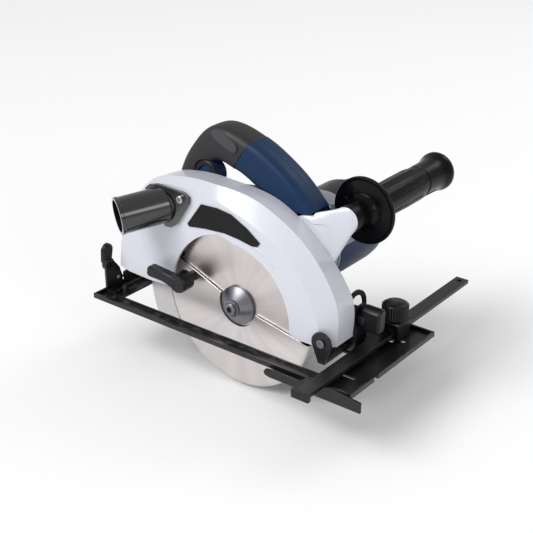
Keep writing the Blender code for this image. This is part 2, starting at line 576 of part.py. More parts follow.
def build_motor(parts, cutters):
    axis = (MOTOR_X, 0, MOTOR_Z)
    profile = [(0, 33.3), (40.5, 33.3), (MOTOR_R, 36), (MOTOR_R, 96), (40, 106), (37, 112), (0, 112)]
    housing = turned("motor_housing", profile, "blue_plastic", parts, axis, (0, 1, 0), 48)
    boolean(housing, rod("cut_motor_room", 36.5, 74, None, cutters, (MOTOR_X, 36, MOTOR_Z), (0, 1, 0), 40))
    boolean(housing, rod("cut_motor_mouth", 10, 20, None, cutters, (MOTOR_X, 28, MOTOR_Z), (0, 1, 0), 24))
    boolean(housing, rod("cut_motor_rear", 33, 20, None, cutters, (MOTOR_X, 100, MOTOR_Z), (0, 1, 0), 40))
    cap = turned("motor_end_cap", [(0, 112.3), (36.8, 112.3), (36.8, 119), (31, 126), (19, 128), (0, 128)],
                 "black_plastic", parts, axis, (0, 1, 0), 48)
    boolean(cap, rod("cut_cap_room", 31, 8, None, cutters, (MOTOR_X, 110, MOTOR_Z), (0, 1, 0), 32))
    for i in range(5):
        x = MOTOR_X - 20 + 10 * i
        low, high = (x - 2, 115, MOTOR_Z - 16), (x + 2, 135, MOTOR_Z + 16)
        boolean(cap, block(f"cut_cap_vent_{i}", low, high, None, cutters))
    ring("stator", 24.5, 36.2, "dark_steel", parts, (MOTOR_X, 58, MOTOR_Z), (0, 1, 0), 34, 32)
    rotor = turned("rotor", [(0, 56), (23.7, 56), (23.7, 94), (12, 94), (12, 110), (0, 110)], "copper", parts,
                   axis, (0, 1, 0), 32)
    boolean(rotor, rod("cut_rotor_bore", 4.3, 90, None, cutters, (MOTOR_X, 40, MOTOR_Z), (0, 1, 0), 20))
    fan = turned("fan", [(0, 44), (32, 44), (32, 50), (0, 50)], "black_plastic", parts, axis, (0, 1, 0), 32)
    boolean(fan, rod("cut_fan_bore", 4.3, 90, None, cutters, (MOTOR_X, 20, MOTOR_Z), (0, 1, 0), 20))
    for i, x in enumerate((-MOTOR_R + 0.4, MOTOR_R - 0.4)):
        side = 1 if x > 0 else -1
        boolean(housing, rod(f"cut_brush_{i}", 5.3, 12, None, cutters,
                             (MOTOR_X + x + side * 2, 98, MOTOR_Z), (-side, 0, 0), 16))
        turned(f"brush_cap_{i + 1}", [(0, 0), (5, 0), (5, 4), (4.4, 5), (0, 5)], "black_plastic", parts,
               (MOTOR_X + x - side * 3.6, 98, MOTOR_Z), (side, 0, 0), 16)


def gear_outline(teeth, mesh_angle, on_tooth):
    """Spur gear with straight flanks; a tooth or a gap points along the line of centres."""
    pitch = 360.0 / teeth
    radius = MODULE * teeth / 2
    shift = 0.0 if on_tooth else pitch / 2
    points = []
    for i in range(teeth):
        middle = mesh_angle + shift + i * pitch
        root, top = -1.2 * MODULE, 0.85 * MODULE
        for share, reach in ((-0.31, root), (-0.1, top), (0.1, top), (0.31, root)):
            points.append(polar((0, 0), radius + reach, middle + share * pitch))
    return points


def idler_centre():
    """Middle shaft, at the same distance from the arbor and from the motor's axis."""
    reach = MODULE * (PINION_TEETH + WHEEL_TEETH) / 2
    middle = Vector((MOTOR_X / 2, (MOTOR_Z + BLADE_Z) / 2))
    line = Vector((MOTOR_X, MOTOR_Z - BLADE_Z))
    offset = math.sqrt(max(reach * reach - (line.length / 2) ** 2, 0.0))
    return middle + Vector((-line.y, line.x)).normalized() * offset


def heading(start, end):
    return math.degrees(math.atan2(end[1] - start[1], end[0] - start[0]))


def build_gears(parts, cutters):
    arbor, motor = (0.0, BLADE_Z), (MOTOR_X, MOTOR_Z)
    idler = tuple(idler_centre())
    up, down = heading(arbor, idler), heading(idler, motor)
    driven = slab("driven_gear", gear_outline(WHEEL_TEETH, up, True), "Y", (-1, 8), "bright_steel", parts,
                  (0, 0, BLADE_Z))
    boolean(driven, rod("cut_driven_bore", 8.3, 30, None, cutters, (0, -10, BLADE_Z), (0, 1, 0), 24))
    here = (idler[0], 0, idler[1])
    wheel = slab("idler_gear", gear_outline(WHEEL_TEETH, down, True), "Y", (12, 20), "bright_steel", parts,
                 here)
    pinion = slab("cut_idler_pinion", gear_outline(PINION_TEETH, up + 180, False), "Y", (-1, 13), None,
                  cutters, here)
    boolean(wheel, pinion, "UNION")
    boolean(wheel, rod("cut_idler_bore", 3.3, 40, None, cutters, (idler[0], -10, idler[1]), (0, 1, 0), 16))
    rod("idler_pin", 3.0, 35.0, "dark_steel", parts, (idler[0], -5.5, idler[1]), (0, 1, 0), 16)
    shaft = slab("motor_shaft", gear_outline(PINION_TEETH, down + 180, False), "Y", (11, 21), "bright_steel",
                 parts, (MOTOR_X, 0, MOTOR_Z))
    core = rod("cut_shaft_core", 4.0, 96, None, cutters, (MOTOR_X, 20.5, MOTOR_Z), (0, 1, 0), 20)
    boolean(shaft, core, "UNION")
    ring("arbor_bearing", 6.9, 14, "bright_steel", parts, (0, 21.5, BLADE_Z), (0, 1, 0), 7, 24)
    ring("motor_bearing", 4.3, 9.7, "bright_steel", parts, (MOTOR_X, 29, MOTOR_Z), (0, 1, 0), 7, 24)


def grip_section(thick, side, half):
    """Half of a rounded section: across the path by thickness, along Y by half width."""
    count = 9
    points = []
    for i in range(count):
        turn = -90 + 180 * i / (count - 1)
        c, s = math.cos(math.radians(turn)), math.sin(math.radians(turn))
        points.append((0.5 * thick * math.copysign(abs(s) ** 0.54, s), side * half * abs(c) ** 0.54))
    return points


def sweep(name, stations, side, half, look, parts):
    """Skin along a path of (x, z, thickness); side 0 makes the full section."""
    rings = []
    middle = (GRIP_Y[0] + GRIP_Y[1]) / 2
    for i, (x, z, thick) in enumerate(stations):
        before, after = stations[max(i - 1, 0)], stations[min(i + 1, len(stations) - 1)]
        along = Vector((after[0] - before[0], after[1] - before[1])).normalized()
        across = Vector((-along.y, along.x))
        if side:
            section = [(a, b + side * 0.15) for a, b in grip_section(thick, side, half - 0.15)]
        else:
            section = grip_section(thick, 1, half) + grip_section(thick, -1, half)[-2:0:-1]
        rings.append([(x + across.x * a, middle + b, z + across.y * a) for a, b in section])
    return add_object(name, loft_mesh(name, rings), look, parts)


def build_handle(parts, cutters):
    arm = smooth_path([(50, 112, 34), (30, 131, 35), (8, 146, 35.5), (-14, 157, 35), (-42, 164.2, 33.5)], 4)
    near = sweep("handle_near", arm, -1, 17, "blue_plastic", parts)
    far = sweep("handle_far", arm, 1, 17, "blue_plastic", parts)
    rear = smooth_path([(2, 149, 35.4), (-20, 158.5, 35), (-38, 163.5, 34.5), (-51, 162.5, 33),
                        (-64, 152, 28.5), (-76, 137, 25), (-84, 119, 24)], 4)
    cap = sweep("grip_cap", rear, 0, 17.4, "rubber", parts)
    base = [(-104, 104), (-98, 119), (-72, 121), (-40, 119), (-24, 121), (10, 121.5), (30, 130), (58, 124),
            (64, 112), (30, 109), (-10, 100), (-22, 92), (-96, 92)]
    lower = slab("handle_base", base, "Y", (-5.9, 22.5), "blue_plastic", parts)
    soften(lower, 3.0)
    (low_x, low_z), (high_x, high_z) = TAIL_SPLIT
    front = [(low_x - 0.2, low_z), (high_x - 0.2, high_z), (80, high_z), (80, 60), (low_x - 0.2, 60)]
    behind = [(low_x + 0.2, low_z), (high_x + 0.2, high_z), (-90, high_z), (-90, 100), (low_x + 0.2, 100)]
    tail = slab("cut_arm_tail", behind, "Y", (-40, 60), None, cutters)
    boolean(cap, slab("cut_grip_split", front, "Y", (-40, 60), None, cutters))
    boolean(near, tail)
    boolean(far, tail)
    case_room = slab("cut_base_case", case_outline(0.3), "Y", (-20, 40), None, cutters)
    for item in (near, far, lower):
        boolean(item, case_room)
    for item in (near, far, cap):
        seat = slab("cut_handle_base_" + item.name, shrink(base, -0.4), "Y", (-6.5, 30), None, cutters)
        boolean(item, seat)
    step = [(-95, 80), (90, 80), (90, 121.3), (-95, 121.3)]
    ledge = slab("cut_ledge", step, "Y", (-20, -6.5), None, cutters)
    for item in (near, cap):
        boolean(item, ledge)
    ridge = [(-94, 88), (90, 80), (90, 122), (-94, 122)]
    boolean(lower, slab("cut_base_ridge", ridge, "Y", (-20, -6.6), None, cutters))
    boolean(lower, rod("cut_boss", 14, 12.5, None, cutters, (BOSS_X, -10, BOSS_Z), (0, 1, 0), 32), "UNION")
    behind_boss = [(-140, 90), (-76, 150), (-60, 200), (-140, 200)]
    boolean(lower, slab("cut_boss_rear", behind_boss, "Y", (-30, 40), None, cutters))
    boolean(cap, rod("cut_boss_room", 14.4, 60, None, cutters, (BOSS_X, -20, BOSS_Z), (0, 1, 0), 32))
    boolean(lower, rod("cut_lock_bore", 8.6, 12, None, cutters, (BOSS_X, -12, BOSS_Z), (0, 1, 0), 24))
    turned("lock_off_button", [(0, 0), (7.4, 0), (8.2, 1), (8.2, 8.5), (0, 8.5)], "blue_plastic", parts,
           (BOSS_X, -11.5, BOSS_Z), (0, 1, 0), 24)
    build_trigger(parts, cutters, (near, far, cap))
    gland = turned("cable_gland", [(0, 0), (7, 0), (7, 6), (9, 7), (9, 12), (7, 16), (0, 16)], "rubber",
                   parts, (-104.5, 8, 104), (-1, 0, 0), 20)
    boolean(gland, rod("cut_gland", 3.6, 20, None, cutters, (-104, 8, 104), (-1, 0, 0), 16))


def build_trigger(parts, cutters, shells):
    outline = [(-30, 150), (-14, 143), (2, 133), (-3, 129.5), (-14, 136.5), (-25, 141.5), (-30, 144)]
    lever = slab("trigger", outline, "Y", (-2, 13), "black_plastic", parts)
    soften(lever, 1.5)
    well = [(-32, 139), (-31.5, 155), (-10, 151), (6, 135), (3, 126)]
    room = slab("cut_trigger_room", well, "Y", (-2.6, 13.6), None, cutters)
    for shell in shells:
        boolean(shell, room)


def build_controls(parts, cutters):
    turned("spindle_lock", [(0, 0), (6.6, 0), (7.2, 1.5), (7.2, 7), (5, 7), (5, 19), (0, 19)],
           "black_plastic", parts, (74, 14, 54), (-1, 0, 0), 20)
    boolean(bpy.data.objects["gear_case"],
            rod("cut_spindle_lock", 5.3, 40, None, cutters, (90, 14, 54), (-1, 0, 0), 20))
    pivot = (DEPTH_X, DEPTH_Z)
    spot = polar(pivot, 160, 181)
    hub = turned("depth_lever", [(0, 0), (2.2, 0), (2.2, 5.5), (7, 5.5), (7, 9.4), (0, 9.4)],
                 "black_plastic", parts, (spot[0], -11.6, spot[1]), (0, 1, 0), 20)
    outline = [(spot[0] + x, spot[1] + z) for x, z in ((-4, 5), (4, 5), (3, 34), (-3, 34))]
    arm = slab("cut_depth_arm", outline, "Y", (-5.8, -1.6), None, cutters)
    soften(arm, 1.0)
    boolean(hub, arm, "UNION")


def main():
    clear_scene()
    parts, cutters = make_collection("circular_saw"), make_collection("cutters")
    build_base(parts, cutters)
    build_fence(parts, cutters)
    build_cradle(parts, cutters)
    build_upper_guard(parts, cutters)
    build_lower_guard(parts, cutters)
    build_blade(parts, cutters)
    build_case(parts, cutters)
    build_aux_handle(parts, cutters)
    build_motor(parts, cutters)
    build_gears(parts, cutters)
    build_handle(parts, cutters)
    build_controls(parts, cutters)


main()
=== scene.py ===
"""Studio view of a corded circular saw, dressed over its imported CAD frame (metres, +Z up)."""

import json
import math

import bmesh
import bpy
from mathutils import Matrix, Vector


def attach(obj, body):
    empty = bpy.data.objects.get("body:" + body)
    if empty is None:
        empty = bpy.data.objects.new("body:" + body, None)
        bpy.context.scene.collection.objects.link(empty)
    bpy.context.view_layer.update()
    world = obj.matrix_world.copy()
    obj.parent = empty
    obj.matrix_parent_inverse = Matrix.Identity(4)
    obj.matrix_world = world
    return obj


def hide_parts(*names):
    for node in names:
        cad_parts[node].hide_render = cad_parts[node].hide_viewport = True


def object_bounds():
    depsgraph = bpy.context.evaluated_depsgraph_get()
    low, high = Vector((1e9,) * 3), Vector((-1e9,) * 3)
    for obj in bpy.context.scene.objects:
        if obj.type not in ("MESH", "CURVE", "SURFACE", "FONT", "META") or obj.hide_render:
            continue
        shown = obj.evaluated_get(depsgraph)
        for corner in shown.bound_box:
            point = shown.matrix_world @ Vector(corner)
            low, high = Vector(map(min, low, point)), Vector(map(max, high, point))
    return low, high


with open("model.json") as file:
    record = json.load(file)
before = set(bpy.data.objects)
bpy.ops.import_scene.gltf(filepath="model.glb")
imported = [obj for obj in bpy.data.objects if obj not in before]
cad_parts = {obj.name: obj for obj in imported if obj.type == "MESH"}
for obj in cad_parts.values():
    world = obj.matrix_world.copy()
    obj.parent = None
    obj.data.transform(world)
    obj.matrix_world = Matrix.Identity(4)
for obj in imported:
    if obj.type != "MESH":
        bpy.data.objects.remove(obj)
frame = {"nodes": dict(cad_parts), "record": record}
CAD_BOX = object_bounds()
MM = 0.001
SHARP = 34                      # degrees between faces that meet in an edge
CLEAR = 0.3                     # gap left round a part that is let into another
BLADE_Z = 26.0
PIVOT = (102, 26)               # depth pivot, X and Z
GUARD_Y = (-47, -37, -12)       # near face, shoulder and far edge of the upper guard
GUARD_WALL = 3.0
PORT_ROOT = Vector((-79, -45, 109))
PORT_WAY = Vector((-0.51, -0.85, -0.12)).normalized()
PORT_SCREW = (-54.5, 121.5)     # X and Z
MOTOR_AT = (24, 71)             # motor axis, X and Z
AUX_AT = (90.0, 1.5, 121.0)     # root of the side handle
AUX_GRIP_Y = 38.8
AUX_WAY = (0, 1, 0)
BOSS_AT = (-58, 133)            # lock-off boss, X and Z
HANDLE_Y = 5.5                  # middle of the main handle
SKY_STRENGTH = 0.52
SUN_POWER, SUN_SPREAD = 1.7, 35
LAMPS = (("key", (-1.1, -1.3, 1.5), 0.8, 8.0), ("side", (1.7, -0.6, 0.9), 0.6, 4.0),
         ("back", (0.5, 1.5, 1.6), 0.9, 6.0))       # name, place, size, power
LAMP_TARGET = Vector((0, 0, 0.06))
FLOOR_HALF, FLOOR_GAP = 60.0, 0.002
CAMERA_TARGET = Vector((0.03925, -0.045, 0.07973))
CAMERA_AZIMUTH, CAMERA_ELEVATION, CAMERA_DISTANCE = 37.97, 25.47, 0.95162
CAMERA_LENS = 73.57
BODY_OF = {node: body for body, nodes in frame["record"]["behaviour"]["bodies"].items() for node in nodes}
SLOT_OF = {part["node"]: part["material_slot"] for part in frame["record"]["subparts"]}
LOOKS = {}


# ---------------------------------------------------------------- materials

def node_material(name):
    material = bpy.data.materials.new(name)
    material.use_nodes = True
    return material, material.node_tree.nodes, material.node_tree.links


def noise(nodes, links, scale, detail, source, stretch=(1, 1, 1)):
    """Noise over object space, stretched along an axis for grain."""
    mapping = nodes.new("ShaderNodeMapping")
    mapping.inputs["Scale"].default_value = stretch
    links.new(source, mapping.inputs["Vector"])
    texture = nodes.new("ShaderNodeTexNoise")
    texture.inputs["Scale"].default_value = scale
    texture.inputs["Detail"].default_value = detail
    links.new(mapping.outputs["Vector"], texture.inputs["Vector"])
    return texture.outputs["Fac"]


def spread(nodes, links, value, low, high, start=0.3, end=0.7):
    band = nodes.new("ShaderNodeMapRange")
    band.inputs["From Min"].default_value = start
    band.inputs["From Max"].default_value = end
    band.inputs["To Min"].default_value = low
    band.inputs["To Max"].default_value = high
    links.new(value, band.inputs["Value"])
    return band.outputs["Result"]


def mix_colour(nodes, links, factor, first, second):
    mix = nodes.new("ShaderNodeMix")
    mix.data_type = "RGBA"
    links.new(factor, mix.inputs["Factor"])
    for socket, value in ((mix.inputs[6], first), (mix.inputs[7], second)):
        if isinstance(value, tuple):
            socket.default_value = (*value, 1.0)
        else:
            links.new(value, socket)
    return mix.outputs[2]


def add_bump(nodes, links, shader, height, distance, strength=0.5):
    bump = nodes.new("ShaderNodeBump")
    bump.inputs["Distance"].default_value = distance
    bump.inputs["Strength"].default_value = strength
    links.new(height, bump.inputs["Height"])
    links.new(bump.outputs["Normal"], shader.inputs["Normal"])


def surface(name, colour, rough, metallic=0.0, coat=0.0, grain=900.0, bump=0.00003, worn=None,
            stretch=(1, 1, 1), shade=0.12, streak=0.0, specular=0.5):
    """Finish with colour drift, roughness drift, fine relief and, if asked, bare worn edges."""
    material, nodes, links = node_material(name)
    shader = nodes["Principled BSDF"]
    coords = nodes.new("ShaderNodeTexCoord").outputs["Object"]
    cloud = noise(nodes, links, 22.0, 4.0, coords)
    fine = noise(nodes, links, grain, 3.0, coords, stretch)
    dark = tuple(c * (1 - shade) for c in colour)
    base = mix_colour(nodes, links, spread(nodes, links, cloud, 0, 1), colour, dark)
    if streak:
        lines = spread(nodes, links, fine, 0, streak)
        base = mix_colour(nodes, links, lines, base, tuple(c * 0.6 for c in colour))
    if worn:
        edge = nodes.new("ShaderNodeNewGeometry").outputs["Pointiness"]
        patch = nodes.new("ShaderNodeMath")
        patch.operation = "MULTIPLY"
        links.new(spread(nodes, links, edge, 0, 1, 0.56, 0.66), patch.inputs[0])
        rubbed = noise(nodes, links, 140.0, 5.0, coords)
        links.new(spread(nodes, links, rubbed, 0, 1, 0.5, 0.62), patch.inputs[1])
        base = mix_colour(nodes, links, patch.outputs[0], base, worn)
    links.new(base, shader.inputs["Base Color"])
    links.new(spread(nodes, links, cloud, max(rough - 0.05, 0.02), rough + 0.07), shader.inputs["Roughness"])
    shader.inputs["Metallic"].default_value = metallic
    shader.inputs["Coat Weight"].default_value = coat
    shader.inputs["Specular IOR Level"].default_value = specular
    shader.inputs["Coat Roughness"].default_value = 0.12
    add_bump(nodes, links, shader, fine, bump)
    return material


def turned_steel(name, colour, rough):
    """Steel brushed in circles round the blade's axis, with a radial sheen painted into its colour as darker
    bands.
    """
    material, nodes, links = node_material(name)
    shader = nodes["Principled BSDF"]
    coords = nodes.new("ShaderNodeTexCoord").outputs["Object"]
    split = nodes.new("ShaderNodeSeparateXYZ")
    links.new(coords, split.inputs["Vector"])
    lift = nodes.new("ShaderNodeMath")
    lift.operation = "SUBTRACT"
    lift.inputs[1].default_value = BLADE_Z * MM
    links.new(split.outputs["Z"], lift.inputs[0])
    flat = nodes.new("ShaderNodeCombineXYZ")
    links.new(split.outputs["X"], flat.inputs["X"])
    links.new(lift.outputs[0], flat.inputs["Y"])
    radius = nodes.new("ShaderNodeVectorMath")
    radius.operation = "LENGTH"
    links.new(flat.outputs[0], radius.inputs[0])
    angle = nodes.new("ShaderNodeMath")
    angle.operation = "ARCTAN2"
    links.new(lift.outputs[0], angle.inputs[0])
    links.new(split.outputs["X"], angle.inputs[1])
    rings = nodes.new("ShaderNodeCombineXYZ")
    links.new(radius.outputs["Value"], rings.inputs["X"])
    grain = noise(nodes, links, 2600.0, 6.0, rings.outputs[0])
    cloud = noise(nodes, links, 30.0, 4.0, coords)
    spokes = nodes.new("ShaderNodeCombineXYZ")
    links.new(angle.outputs[0], spokes.inputs["X"])
    # Painted sheen: radial bands round the axis darken the colour, mixed with the brushed grain.
    painted_sheen_rays = noise(nodes, links, 3.2, 2.0, spokes.outputs[0])
    painted_sheen_mask = nodes.new("ShaderNodeMath")
    painted_sheen_mask.operation = "MULTIPLY"
    links.new(spread(nodes, links, painted_sheen_rays, 0.0, 0.4, 0.35, 0.68), painted_sheen_mask.inputs[0])
    links.new(spread(nodes, links, grain, 0.7, 1.0), painted_sheen_mask.inputs[1])
    base = mix_colour(nodes, links, painted_sheen_mask.outputs[0], colour, tuple(c * 0.62 for c in colour))
    links.new(base, shader.inputs["Base Color"])
    links.new(spread(nodes, links, cloud, rough - 0.04, rough + 0.08), shader.inputs["Roughness"])
    shader.inputs["Metallic"].default_value = 1.0
    shader.inputs["Anisotropic"].default_value = 0.75
    tangent = nodes.new("ShaderNodeTangent")
    tangent.direction_type = "RADIAL"
    tangent.axis = "Y"
    links.new(tangent.outputs["Tangent"], shader.inputs["Tangent"])
    add_bump(nodes, links, shader, grain, 0.00002, 0.3)
    return material


def make_looks():
    LOOKS.update({
        "black_paint": surface("satin black paint", (0.005, 0.0045, 0.0055), 0.33, coat=0.1, grain=1500,
                               specular=0.35, worn=(0.05, 0.05, 0.052)),
        "white_paint": surface("gloss lilac-white enamel", (0.6, 0.615, 0.68), 0.28, coat=0.4, grain=900,
                               bump=0.00001, shade=0.015),
        "casting": surface("grey-white casting", (0.3, 0.31, 0.36), 0.38, grain=800, bump=0.00008,
                           shade=0.08),
        # Both steels carry painted sheen bands in their colour.
        "blade_steel": turned_steel("brushed blade steel", (0.68, 0.63, 0.62), 0.3),
        "guard_steel": turned_steel("brushed guard steel", (0.7, 0.66, 0.65), 0.3),
        "dark_steel": surface("dark steel", (0.25, 0.25, 0.28), 0.34, 1.0, grain=1400, stretch=(1, 6, 1),
                              streak=0.4),
        "bright_steel": surface("ground steel", (0.62, 0.6, 0.6), 0.26, 1.0, grain=1400, stretch=(1, 8, 1),
                                streak=0.3),
        "blue_plastic": surface("blue nylon", (0.0055, 0.0265, 0.078), 0.42, grain=2400, bump=0.00004,
                                shade=0.1, specular=0.22),
        "black_plastic": surface("black nylon", (0.006, 0.0055, 0.0075), 0.32, coat=0.04, grain=2200,
                                 bump=0.00004, specular=0.28),
        "rubber": surface("moulded rubber", (0.012, 0.011, 0.013), 0.5, grain=3000, bump=0.00006, shade=0.25),
        "copper": surface("rotor laminations", (0.42, 0.22, 0.12), 0.4, 1.0, grain=2500, stretch=(1, 12, 1),
                          streak=0.6),
        "badge": surface("satin black badge", (0.003, 0.0035, 0.003), 0.42, grain=500, bump=0.00001,
                         specular=0.2),
        "carbide": surface("brazed carbide", (0.55, 0.4, 0.24), 0.35, 1.0, grain=1800, shade=0.3),
        "black_gloss": surface("gloss black nylon", (0.002, 0.0018, 0.0026), 0.24, grain=900, bump=0.00002,
                               specular=0.16),
        "port_nylon": surface("polished black nylon", (0.008, 0.0075, 0.009), 0.2, coat=0.9, grain=1500,
                              bump=0.00002),
        # Lighter grey rubber: a painted highlight for the lit facet of the grip cap.
        "grey_rubber": surface("worn grey rubber", (0.05, 0.045, 0.055), 0.6, grain=2600, bump=0.00006,
                               shade=0.2),
        "red_line": surface("red inlay", (0.25, 0.01, 0.012), 0.4, grain=1500),
    })


# ---------------------------------------------------------------- shapes (millimetres)

def polar(centre, radius, degrees):
    turn = math.radians(degrees)
    return (centre[0] + radius * math.cos(turn), centre[1] + radius * math.sin(turn))


def arc(centre, radius, start, end, count):
    return [polar(centre, radius, start + (end - start) * i / (count - 1)) for i in range(count)]


def smooth_path(points, per_span):
    """Catmull-Rom curve through the points, in two or three dimensions."""
    padded = [points[0]] + list(points) + [points[-1]]
    result = []
    for i in range(1, len(padded) - 2):
        a, b, c, d = (Vector(padded[i + k]) for k in (-1, 0, 1, 2))
        for step in range(per_span):
            t = step / per_span
            result.append(tuple(0.5 * (2 * b + (c - a) * t + (2 * a - 5 * b + 4 * c - d) * t * t
                                       + (3 * b - a - 3 * c + d) * t * t * t)))
    result.append(tuple(points[-1]))
    return result


def shrink(outline, distance):
    """Moves a closed outline inwards; a negative distance lets it grow."""
    count = len(outline)
    area = sum(outline[i][0] * outline[(i + 1) % count][1] - outline[(i + 1) % count][0] * outline[i][1]
               for i in range(count))
    side = 1.0 if area > 0 else -1.0
    result = []
    for i in range(count):
        here = Vector(outline[i])
        before = (here - Vector(outline[i - 1])).normalized()
        after = (Vector(outline[(i + 1) % count]) - here).normalized()
        normals = [Vector((-d.y, d.x)) * side for d in (before, after)]
        mean = (normals[0] + normals[1]).normalized()
        result.append(tuple(here + mean * distance / max(mean.dot(normals[0]), 0.5)))
    return result


def new_piece(name, work):
    """Object from a bmesh, shaded smooth between its edges."""
    bmesh.ops.recalc_face_normals(work, faces=work.faces[:])
    mesh = bpy.data.meshes.new(name)
    work.to_mesh(mesh)
    work.free()
    mesh.shade_smooth()
    mesh.set_sharp_from_angle(angle=math.radians(SHARP))
    piece = bpy.data.objects.new(name, mesh)
    bpy.context.scene.collection.objects.link(piece)
    return piece


def loft(name, rings):
    """Skin through rings of equal counts, with flat ends."""
    work = bmesh.new()
    rows = [[work.verts.new(Vector(p) * MM) for p in ring] for ring in rings]
    count = len(rows[0])
    for low, high in zip(rows, rows[1:]):
        for i in range(count):
            work.faces.new((low[i], low[(i + 1) % count], high[(i + 1) % count], high[i]))
    work.faces.new(rows[0][::-1])
    work.faces.new(rows[-1])
    return new_piece(name, work)


def place(outline, axis, depth):
    """Flat outline set square to an axis at a depth."""
    if axis == "Y":
        return [(p[0], depth, p[1]) for p in outline]
    if axis == "X":
        return [(depth, p[0], p[1]) for p in outline]
    return [(p[0], p[1], depth) for p in outline]


def slab(name, outline, axis, span):
    return loft(name, [place(outline, axis, depth) for depth in span])


def aim(location, direction):
    turn = Vector((0, 0, 1)).rotation_difference(Vector(direction).normalized()).to_matrix().to_4x4()
    return Matrix.Translation(Vector(location) * MM) @ turn


def turned(name, profile, location, direction, segments=96):
    """Solid of revolution from (radius, height) pairs, laid along a direction."""
    work = bmesh.new()
    rows = []
    for radius, height in profile:
        if radius < 0.001:
            rows.append([work.verts.new((0, 0, height * MM))])
        else:
            rows.append([work.verts.new((radius * MM * math.cos(t), radius * MM * math.sin(t), height * MM))
                         for t in (2 * math.pi * i / segments for i in range(segments))])
    for low, high in zip(rows, rows[1:]):
        for i in range(segments):
            j = (i + 1) % segments
            corners = []
            for vert in (low[i % len(low)], low[j % len(low)], high[j % len(high)], high[i % len(high)]):
                if vert not in corners:
                    corners.append(vert)
            if len(corners) > 2:
                work.faces.new(corners)
    bmesh.ops.transform(work, matrix=aim(location, direction), verts=work.verts[:])
    return new_piece(name, work)


def rod(name, radius, length, location, direction, segments=48):
    return turned(name, [(0, 0), (radius, 0), (radius, length), (0, length)], location, direction, segments)


def block(name, low, high):
    work = bmesh.new()
    size, centre = Vector(high) - Vector(low), (Vector(high) + Vector(low)) / 2
    matrix = Matrix.Translation(centre * MM) @ Matrix.Diagonal((*(size * MM), 1.0))
    bmesh.ops.create_cube(work, size=1.0, matrix=matrix)
    return new_piece(name, work)


def tube_along(name, points, radius, sides=10):
    """Round wire through points."""
    rings = []
    for i, point in enumerate(points):
        before, after = Vector(points[max(i - 1, 0)]), Vector(points[min(i + 1, len(points) - 1)])
        along = (after - before).normalized()
        helper = Vector((0, 1, 0)) if abs(along.y) < 0.9 else Vector((1, 0, 0))
        side = along.cross(helper).normalized()
        up = side.cross(along)
        rings.append([tuple(Vector(point) + (side * math.cos(t) + up * math.sin(t)) * radius)
                      for t in (2 * math.pi * k / sides for k in range(sides))])
    return loft(name, rings)


def carve(piece, others, operation="DIFFERENCE"):
    """Applies solids to a piece and removes them."""
    for other in others:
        modifier = piece.modifiers.new(other.name, "BOOLEAN")
        modifier.operation = operation
        modifier.solver = "EXACT"
        modifier.object = other
    bpy.context.view_layer.update()
    mesh = bpy.data.meshes.new_from_object(piece.evaluated_get(bpy.context.evaluated_depsgraph_get()))
    piece.modifiers.clear()
    old = piece.data
    piece.data = mesh
    bpy.data.meshes.remove(old)
    for other in others:
        bpy.data.objects.remove(other, do_unlink=True)
    mesh.shade_smooth()
    mesh.set_sharp_from_angle(angle=math.radians(SHARP))


def join(name, pieces):
    """One piece from several shells."""
    work = bmesh.new()
    for piece in pieces:
        work.from_mesh(piece.data)
        bpy.data.objects.remove(piece, do_unlink=True)
    return new_piece(name, work)


# ---------------------------------------------------------------- pieces

def finish_piece(piece, look, body, nodes=(), bevel=0.35, segments=2, angle=SHARP):
    """Rounded edges, shading, finish and its place in the saw."""
    piece.data.materials.clear()
    piece.data.materials.append(LOOKS[look])
    if bevel:
        edges = piece.modifiers.new("Edges", "BEVEL")
        edges.width = bevel * MM
        edges.segments = segments
        edges.limit_method = "ANGLE"
        edges.angle_limit = math.radians(angle)
        edges.harden_normals = True
        edges.use_clamp_overlap = True
    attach(piece, body)
    if nodes:
        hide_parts(*nodes)


def refine(node, bevel):
    """Finer copy of a CAD node: flat faces merged, edges rounded."""
    mesh = frame["nodes"][node].data.copy()
    mesh.name = node + "_fine"
    work = bmesh.new()
    work.from_mesh(mesh)
    bmesh.ops.remove_doubles(work, verts=work.verts[:], dist=0.00001)
    bmesh.ops.dissolve_limit(work, angle_limit=math.radians(0.6), verts=work.verts[:], edges=work.edges[:])
    work.to_mesh(mesh)
    work.free()
    mesh.shade_smooth()
    mesh.set_sharp_from_angle(angle=math.radians(SHARP))
    piece = bpy.data.objects.new(node + "_fine", mesh)
    bpy.context.scene.collection.objects.link(piece)
    finish_piece(piece, SLOT_OF[node], BODY_OF[node], (node,), bevel)


def guard_rings():
    """Near face, shoulder and far edge of the upper guard, as outlines of equal counts."""
    fine = 12
    near_top = smooth_path([(96, 20), (95, 46), (73, 84), (37, 110), (-17, 129), (-55, 131.5), (-90, 126),
                            (-121, 99), (-136, 64), (-141.5, 29)], fine)
    rim_top = smooth_path([(110, 20), (108, 62), (76, 106), (24, 134), (-28, 139), (-66, 137), (-98, 128),
                           (-127, 100), (-140.5, 64), (-144.8, 29)], fine)
    far_top = smooth_path([(110, 20), (108, 58), (75, 99), (28, 129), (-28, 136), (-66, 135), (-98, 126),
                           (-127, 99), (-140.5, 64), (-144.8, 29)], fine)
    window = arc((0, BLADE_Z), 72, 176, 100, 7) + arc((0, BLADE_Z), 66, 85, -3, 9)
    near = near_top + [(-129, 26), (-102, 25), (-82, 26)] + window + [(76, 19.5)]
    count = len(near) - len(near_top)
    low = [(-129, 24), (-88, 22)] + [(-80 + 168 * i / (count - 4), 8) for i in range(count - 3)] + [(92, 18)]
    return near, rim_top + low, far_top + low, len(near_top)


